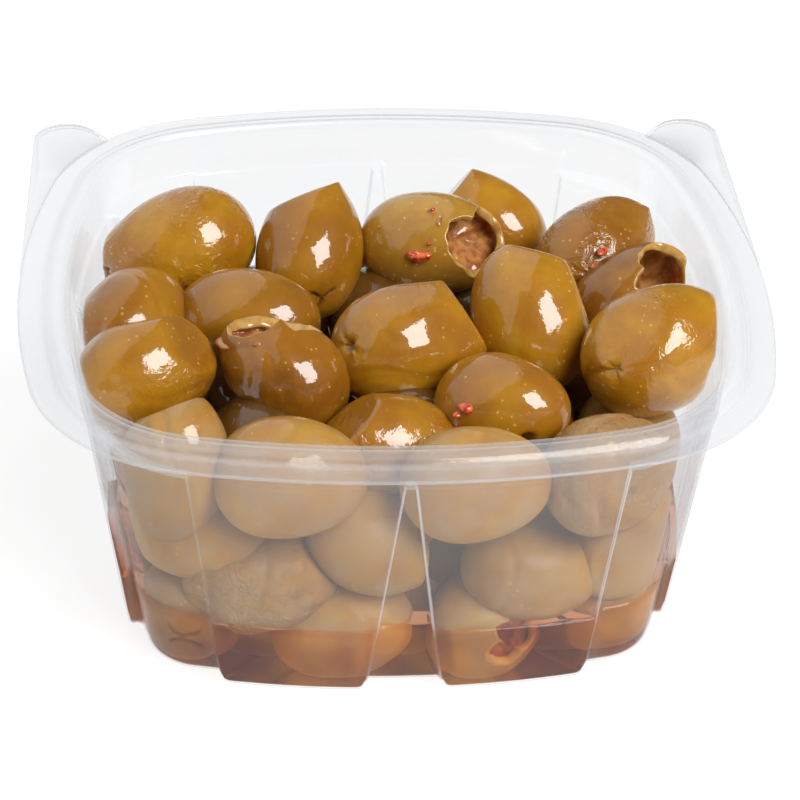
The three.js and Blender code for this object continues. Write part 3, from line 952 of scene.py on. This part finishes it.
class OliveSkin:
    """The outer form of one olive, as a radius in each direction of its own frame."""

    def __init__(self, olive, random):
        self.olive = olive
        self.long, self.wide = olive["long"], olive["wide"]
        self.frame = olive_frame(olive["heading"], olive["lift"], olive.get("roll", 0))
        self.state = random.integers(1 << 30)

    def inward(self, direction):
        """A world direction in the olive's own frame."""
        return self.frame.T @ direction

    def way(self, azimuth, elevation):
        return self.inward(facing_way(azimuth, elevation))

    def points(self, direction):
        """Points of the skin in these directions, in the olive's frame."""
        random = np.random.default_rng(self.state)
        half_wide = self.wide / 2 * (1 - self.olive.get("taper", 0.06) * direction[..., 1])
        across = np.hypot(direction[..., 0], direction[..., 2]) / half_wide
        along = np.abs(direction[..., 1]) / (self.long / 2)
        radius = (across**2.12 + along**2.12) ** (-1 / 2.12)
        radius = radius + lumps(direction, random, 0.4) + dents(direction, random, 4, 0.45)
        for azimuth, elevation, height, width in self.olive.get("horns", ()):
            away = away_from(direction, self.way(azimuth, elevation))
            radius = radius + height * np.exp(-away / width)
        points = direction * radius[..., None]
        for azimuth, elevation, offset, depth in self.olive.get("creases", ()):
            normal = self.way(azimuth, elevation)
            wave = 0.7 * np.sin(points @ unit(np.array([1, 2, -1])) * 0.45)
            height = points @ normal - offset - wave
            facing = smooth(1.4 - np.abs(height) / 3)
            points = points - direction * (depth * sharp(height, 0.55) * facing)[..., None]
        for azimuth, elevation, share, give in self.olive.get("facets", ()):
            normal = self.way(azimuth, elevation)
            height = points @ normal
            cut = soft_limit(height, share * self.reach(normal), give)
            points = points + normal * (cut - height)[..., None]
        if self.olive.get("notch"):
            azimuth, elevation, width = self.olive["notch"]
            normal = self.way(azimuth, elevation)
            beside = self.way(azimuth + 90, 0)
            below = points @ self.inward(np.array([0, 0, -1.0]))
            gap = sharp(points @ beside, width / 3) * smooth((below + 1) / 1.5)
            points = points - direction * (3.5 * gap * (direction @ normal > 0))[..., None]
        return points

    def reach(self, normal):
        """How far the plain olive reaches along a direction."""
        half = np.array([self.wide / 2, self.long / 2, self.wide / 2])
        return float(np.linalg.norm(half * normal))

    def directions(self, pole, start, rows, segments):
        """A grid of directions round a pole, from a start angle for each turn to the far side."""
        aside = unit(np.cross([0, 0, 1], pole) if abs(pole[2]) < 0.98 else np.array([1.0, 0, 0]))
        upward = np.cross(pole, aside)
        turn = round_turn(segments)
        angle = mix(start, math.pi, np.linspace(0, 1, rows + 1)[:, None])
        ring_way = np.cos(turn)[:, None] * aside + np.sin(turn)[:, None] * upward
        grid = np.cos(angle)[..., None] * pole + np.sin(angle)[..., None] * ring_way[None]
        return grid @ self.frame, aside @ self.frame, upward @ self.frame


def whole_olive(olive, random, rows, segments):
    """Rows of points over a whole olive, from its pit mark to the far side, and the painted shade of its
    pit mark.
    """
    skin = OliveSkin(olive, random)
    kind, azimuth, elevation, strength = (*olive.get("mark", ("none", 90, 0)), 1.0)[:4]
    pole = facing_way(azimuth, elevation)
    direction, aside, upward = skin.directions(pole, np.zeros(segments), rows, segments)
    points = skin.points(direction)
    dark = np.zeros(points.shape[:2])
    if kind != "none":
        near = direction @ skin.inward(pole) > 0
        depth, dark = pit_mark(kind, points @ aside, points @ upward, random)
        points = points - direction * (strength * depth * near)[..., None]
        # Painted shade for the mark's slits and middle
        dark = strength * dark * near
    return skin.frame, points, dark, np.zeros(points.shape[:2])


def mouth_edge(edge, turn, random):
    """How far a mouth's edge is from its middle at each turn, as an angle, a little ragged."""
    turns = np.radians([t for t, _ in edge] + [360 + edge[0][0]])
    reaches = np.radians([r for _, r in edge] + [edge[0][1]])
    start = np.interp(turn, turns, reaches)
    for _ in range(3):
        start = 0.25 * np.roll(start, 1) + 0.5 * start + 0.25 * np.roll(start, -1)
    for frequency, share in ((5, 0.03), (13, 0.012)):
        start = start + share * np.sin(frequency * turn + random.uniform(0, 6))
    return np.maximum(start, math.radians(8))


def mouth_lip(rim, turn, mouth_way):
    """Rows over the cut edge of the flesh, from the skin to the hollow."""
    thick = FLESH * (1 - 0.45 * np.sin(turn + 0.6) + 0.2 * np.sin(2 * turn) + 0.12 * np.sin(5 * turn))
    to_middle = rim.mean(axis=0) - rim
    inward = unit(to_middle - np.outer(to_middle @ mouth_way, mouth_way))
    lip = []
    for angle in np.linspace(0, math.pi, 7)[1:]:
        out = 0.35 * math.sin(angle) * thick
        across = 0.5 * (1 - math.cos(angle)) * thick
        down = 0.45 * (1 - math.cos(angle)) * thick
        lip.append(rim + inward * across[:, None] + mouth_way * (out - down)[:, None])
    return lip


def mouth_hollow(inner, middle, deep, turn, mouth_way):
    """Rows of the hollow that the stone left, from the lip down to its bottom."""
    flat_edge = inner - np.outer(inner @ mouth_way, mouth_way)
    flat_middle = middle - middle @ mouth_way * mouth_way
    hollow = []
    for t in np.linspace(0, 1, 12)[1:]:
        swell = 1 + 0.4 * math.sin(math.pi * min(1.25 * t, 1))
        share = math.sqrt(max(1 - t**2.5, 0)) * swell
        height = mix(inner @ mouth_way, deep @ mouth_way, t)
        flat = flat_edge - flat_middle * t
        grain = 0.3 * np.sin(9 * turn + 6 * t) + 0.35 * np.sin(4 * turn - 9 * t) + 0.2 * np.sin(17 * turn)
        rough = unit(flat) * (share * grain)[:, None]
        hollow.append(flat * share + rough + np.outer(height, mouth_way))
    hollow[-1] = np.broadcast_to(hollow[-1].mean(axis=0), inner.shape)
    return hollow


def torn_olive(olive, random, rows, segments):
    """An olive with a torn mouth: the hollow from its bottom up, the lip, and the skin."""
    skin = OliveSkin(olive, random)
    azimuth, elevation, edge = olive["mouth"]
    pole = facing_way(azimuth, elevation)
    turn = round_turn(segments)
    direction, _, _ = skin.directions(pole, mouth_edge(edge, turn, random), rows, segments)
    outer = skin.points(direction)
    mouth_way = skin.inward(pole)
    lip = mouth_lip(outer[0], turn, mouth_way)
    deep = -mouth_way * olive.get("shallow", -0.15) * skin.long
    hollow = mouth_hollow(lip[-1], outer[0].mean(axis=0), deep, turn, mouth_way)
    points = np.concatenate([np.stack(hollow)[::-1], np.stack(lip)[::-1], outer])
    flesh = np.zeros(points.shape[:2])
    flesh[:len(hollow)] = 1
    flesh[len(hollow):len(hollow) + len(lip)] = 0.5
    return skin.frame, points, np.zeros(points.shape[:2]), flesh


def add_olive(parts, olive, random, grid):
    make = torn_olive if "mouth" in olive else whole_olive
    frame_turn, sheet, dark, flesh = make(olive, random, *grid)
    placed = keep_in_tub(sheet @ frame_turn.T + np.array(olive["at"], float))
    values = {"tone": random.uniform(0, 1), "crinkle": 0.0, "shade": 0.0, "pale": 0.0, "specks": 1.0}
    values = {key: olive.get(key, value) for key, value in values.items()}
    parts.add(*capped_sheet(placed), dark=inner_first(dark), flesh=inner_first(flesh), **values)


def soft_limit(value, limit, give):
    """Eases a value towards a limit that it never passes, from a little before it."""
    over = np.maximum(value - (limit - give), 0)
    return np.where(over > 0, limit - give * np.exp(-over / give), value)


def panel_at(along, height):
    """How far a place on a wall lies on a panel, softened, from 0 to 1."""
    inner, outer = panel_span(np.clip(height / SEAT_HEIGHT, 0, 1))
    u = np.abs(along)
    return smooth((u - inner) / PRESS_EASE) * smooth((outer - u) / PRESS_EASE)


def keep_in_tub(points):
    """Presses what would pass the tub's inner wall, its floor or the heap's top softly flat."""
    made = points.copy()
    height = np.clip(points[..., 2], 0, SEAT_HEIGHT)
    share = height / SEAT_HEIGHT
    above = smooth((points[..., 2] - SEAT_HEIGHT) / 3)
    spread = LEDGE_REACH * above - PRESS_CLEARANCE
    base, seat = body_outline(0), body_outline(SEAT_HEIGHT)
    centre = mix(base.corner, seat.corner, share)
    radius = mix(BASE_ROUND, SEAT_ROUND, share) + spread
    away = np.abs(made[..., :2]) - centre[..., None]
    reach = np.linalg.norm(away, axis=-1)
    in_corner = (away > 0).all(-1)
    shrink = np.where(in_corner, soft_limit(reach, radius, PRESS_GIVE) / np.maximum(reach, 1e-6), 1)
    pulled = np.sign(made[..., :2]) * (centre[..., None] + away * shrink[..., None])
    made[..., :2] = np.where(in_corner[..., None], pulled, made[..., :2])
    half = mix(BASE_HALF, SEAT_HALF, share) + spread
    for axis, other in ((0, 1), (1, 0)):
        along = made[..., other]
        bow = BODY_BOW - np.sqrt(np.maximum(BODY_BOW**2 - along**2, 0))
        limit = half - bow + PANEL_PROUD * panel_at(along, height) * (1 - above)
        pressed = soft_limit(np.abs(made[..., axis]), limit, PRESS_GIVE * (1 - 0.5 * above))
        made[..., axis] = np.sign(made[..., axis]) * pressed
    made[..., 2] = soft_limit(made[..., 2], HEAP_TOP, 1.0)
    made[..., 2] = -soft_limit(-made[..., 2], -(SHEET + 0.1), 1.0)
    return made


def wall_olives(random):
    """Olives along the right, back and left walls. The corners are shared, so each side has three."""
    made = []
    for row in WALL_ROWS:
        for side in (0, 90, 180):
            for place in row["places"]:
                turn = math.radians(side)
                corner = place > WALL_CORNER["place"]
                if corner and side == 180 and not row["left_end"]:
                    continue
                reach = WALL_CORNER["reach"] if corner else row["reach"]
                x = reach * math.cos(turn) - place * math.sin(turn)
                y = reach * math.sin(turn) + place * math.cos(turn)
                made.append(dict(
                    at=(x, y, row["height"] + random.uniform(-1, 1)),
                    long=WALL_OLIVE["long"] * random.uniform(0.94, 1.04),
                    wide=WALL_OLIVE["wide"] * random.uniform(0.95, 1.04),
                    heading=side + (WALL_CORNER["turn"] if corner else 90) + random.uniform(-20, 20),
                    lift=random.uniform(-25, 25),
                    roll=random.uniform(0, 360),
                ))
    return made


def front_fill(random):
    """Olives close behind those at the front wall."""
    made = []
    for row in FRONT_FILL:
        for place in row["places"]:
            made.append(dict(
                at=(place, row["back"], row["height"]), shade=row["shade"],
                long=WALL_OLIVE["long"] * row["size"], wide=WALL_OLIVE["wide"] * row["size"],
                heading=random.uniform(-30, 30), lift=random.uniform(-20, 20),
            ))
    return made


def inner_olives(random):
    """The layers inside the heap, which show only in the gaps."""
    made = []
    for layer, rows in INNER_LAYERS:
        for column in (-1, 0, 1):
            for row in rows:
                middle = (INNER_SPACING * column, INNER_SPACING * row, layer)
                made.append(dict(
                    at=[v + random.uniform(-INNER_SHIFT, INNER_SHIFT) for v in middle],
                    heading=random.uniform(0, 180), lift=random.uniform(-20, 20),
                    roll=random.uniform(0, 360), shade=1.0, **WALL_OLIVE,
                ))
    return made


def skin_colour(tree):
    """Amber to brown by the olive's tone, in blotches."""
    tone = attribute(tree, "tone")
    blotch = map_range(tree, noise(tree, 90, 3), 0.35, 0.65)
    skin = mix_colour(tree, blotch, mix_colour(tree, tone, *AMBER), mix_colour(tree, tone, *BROWN))
    skin = mix_colour(tree, attribute(tree, "pale"), skin, PALE_SKIN)
    fine = map_range(tree, noise(tree, 500, 4), 0.42, 0.62)
    return mix_colour(tree, product(tree, fine, 0.25), skin, FINE_SPOTS)


def pressed_colour(tree, skin, ridge, crinkle):
    """Paler and greyer patches where the skin is pressed, with painted shade in dark lines along its folds.
    """
    cured = map_range(tree, noise(tree, 160, 3, (8, 1, 4)), 0.35, 0.65, 0.15, 0.5)
    skin = mix_colour(tree, cured, skin, CURED_SKIN)
    # Painted shade: the fold valleys are darkened
    fold_shade = product(tree, map_range(tree, ridge, 0.0, 0.03, 0.5, 0.0), crinkle)
    return mix_colour(tree, fold_shade, skin, FOLD_PAINTED_SHADE)


def specked_colour(tree, skin, place):
    """Pale specks, in some places only."""
    cells = node(tree, "TexVoronoi", {"Vector": place, "Scale": 680.0, "Randomness": 1.0})
    speck = map_range(tree, cells.outputs["Distance"], 0.10, 0.20, 1.0, 0.0)
    few = map_range(tree, noise(tree, 160, 1, (3, 1, 2)), 0.48, 0.6)
    return mix_colour(tree, product(tree, speck, few, attribute(tree, "specks"), 0.5), skin, SPECKS)


def cut_colour(tree, skin):
    """The paler lip and pulp of a torn mouth, painted shade in the pit marks, and deep shade inside the
    heap.
    """
    flesh = attribute(tree, "flesh")
    grain = map_range(tree, noise(tree, 700, 4), 0.35, 0.65)
    lip, pulp = mix_colour(tree, grain, *LIP), mix_colour(tree, grain, *PULP)
    inside = mix_colour(tree, map_range(tree, flesh, 0.6, 0.95), lip, pulp)
    skin = mix_colour(tree, map_range(tree, flesh, 0.05, 0.5), skin, inside)
    for name, colour in (("dark", PIT_PAINTED_SHADE), ("shade", DEEP_SHADE)):
        skin = mix_colour(tree, product(tree, attribute(tree, name), 0.85), skin, colour)
    return skin


def skin_folds(tree, ridge, crinkle):
    """A fine unevenness, and folds where the olive is wrinkled."""
    soft = node(tree, "Bump", {"Height": noise(tree, 420, 3), "Distance": 0.00022, "Strength": 0.5})
    patch = map_range(tree, noise(tree, 130, 1, (5, 2, 7)), 0.42, 0.58, 0.15, 1.0)
    height = product(tree, ridge, crinkle, patch)
    values = {"Height": height, "Distance": 0.0016, "Strength": 0.9, "Normal": soft.outputs[0]}
    return node(tree, "Bump", values).outputs[0]


def olive_material(name, coat, roughness, pressed):
    """Oily olive skin, or the dull skin of olives that are pressed against the wall below the seat."""
    material, shader = principled(name, (0.47, 0.22, 0.02), roughness)
    tree = material.node_tree
    place = node(tree, "TexCoord", {}).outputs["Object"]
    crinkle = attribute(tree, "crinkle")
    wave = node(tree, "TexNoise", {"Vector": place, "Scale": 330.0, "Detail": 3.0, "Distortion": 1.2})
    ridge = maths(tree, "ABSOLUTE", maths(tree, "SUBTRACT", wave.outputs["Fac"], 0.5))
    skin = skin_colour(tree)
    if pressed:
        skin = pressed_colour(tree, skin, ridge, crinkle)
    skin = cut_colour(tree, specked_colour(tree, skin, place))
    folds = skin_folds(tree, ridge, crinkle)
    put(shader, {"Base Color": skin, "Normal": folds, "Coat Normal": folds, "Coat Weight": coat})
    put(shader, OLIVE_SHADER)
    if pressed:
        height = node(tree, "SeparateXYZ", {0: place}).outputs["Z"]
        put(shader, {"Coat Weight": map_range(tree, height, 0.043, 0.0465, coat, 0.8)})
    return material


def make_olives():
    wet = olive_material("olive_skin", 1.0, 0.4, False)
    pressed = olive_material("pressed_olive_skin", 0.12, 0.6, True)
    random = np.random.default_rng(41)
    whole, torn, front, lower = MeshParts(), MeshParts(), MeshParts(), MeshParts()
    for olive in TOP_OLIVES:
        add_olive(torn if "mouth" in olive else whole, olive, random, OLIVE_GRID["top"])
    for olive in FRONT_OLIVES:
        add_olive(front, olive, random, OLIVE_GRID["front"])
    for olive in wall_olives(random):
        add_olive(front, olive, random, OLIVE_GRID["wall"])
    for olive in front_fill(random):
        add_olive(front, olive, random, OLIVE_GRID["fill"])
    for olive in inner_olives(random):
        add_olive(lower, olive, random, OLIVE_GRID["inner"])
    whole.build("olives_whole", wet, "olive_flesh", "olives")
    torn.build("olives_torn", wet, "olive_flesh", "olives")
    front.build("olives_front", pressed, "olive_flesh", "olives")
    lower.build("olives_lower", wet, "olive_flesh", "olives")


# Chilli

# Where each flake lies: the olive, the way from its middle, and the flake's size and turn
CHILLI_FLAKES = [
    dict(olive=2, way=(-17, 13), long=4.0, wide=2.5, heading=-30),
    dict(olive=2, way=(-23, 17), long=2.0, wide=1.8, heading=-60),
    dict(olive=2, way=(-4, 68), long=0.9, wide=0.8, heading=0),
    dict(olive=2, way=(-5, 29), long=0.8, wide=0.7, heading=0),
    dict(olive=4, way=(-1, 31), long=3.8, wide=1.6, heading=58),
    dict(olive=4, way=(-10, 17), long=1.8, wide=1.0, heading=62),
    dict(olive=13, way=(-52, 22), long=2.9, wide=2.4, heading=60),
    dict(olive=13, way=(-58, 12), long=1.6, wide=1.3, heading=20),
]


def make_chilli():
    material, shader = principled("chilli_skin", (0.55, 0.035, 0.01), 0.25)
    tree = material.node_tree
    spots = map_range(tree, noise(tree, 900, 3), 0.4, 0.65)
    colour = mix_colour(tree, spots, (0.50, 0.025, 0.008), (0.75, 0.16, 0.03))
    put(shader, {"Base Color": colour, "Coat Weight": 1.0})
    random = np.random.default_rng(5)
    parts = MeshParts()
    bend = np.linspace(0, math.pi, 15)[:, None]
    turn = round_turn(20)[None, :]
    out = np.sin(bend)
    direction = np.stack([out * np.cos(turn), np.cos(bend) + 0 * turn, out * np.sin(turn)], -1)
    for flake in CHILLI_FLAKES:
        flake_turn = olive_frame(flake["heading"], random.uniform(-15, 15))
        bumpy = 1 + lumps(direction, random, 0.55)
        sheet = direction * (flake["wide"] / 2, flake["long"] / 2, flake["wide"] / 3.2) * bumpy[..., None]
        sheet[0], sheet[-1] = sheet[0].mean(axis=0), sheet[-1].mean(axis=0)
        olive = TOP_OLIVES[flake["olive"]]
        outward = facing_way(*flake["way"])
        axis = olive_frame(olive["heading"], olive["lift"])[:, 1]
        along = outward @ axis
        reach = 1 / math.sqrt((2 * along / olive["long"]) ** 2 + (1 - along**2) * (2 / olive["wide"]) ** 2)
        place = np.array(olive["at"]) + outward * (reach + 0.1)
        parts.add(*capped_sheet(sheet[::-1] @ flake_turn.T + place))
    parts.build("chilli_flakes", material, "chilli")


def set_colours():
    scene = bpy.context.scene
    scene.view_settings.view_transform = "Standard"
    scene.view_settings.look = "None"
    scene.cycles.transparent_max_bounces = 32
    scene.cycles.max_bounces = 9
    scene.cycles.transmission_bounces = 8


make_camera()
make_world()
make_window()
make_fill()
make_floor()
set_colours()
plastic = clear_plastic()
make_tub(plastic)
make_grip_tabs(plastic)
make_oil()
make_olives()
make_chilli()
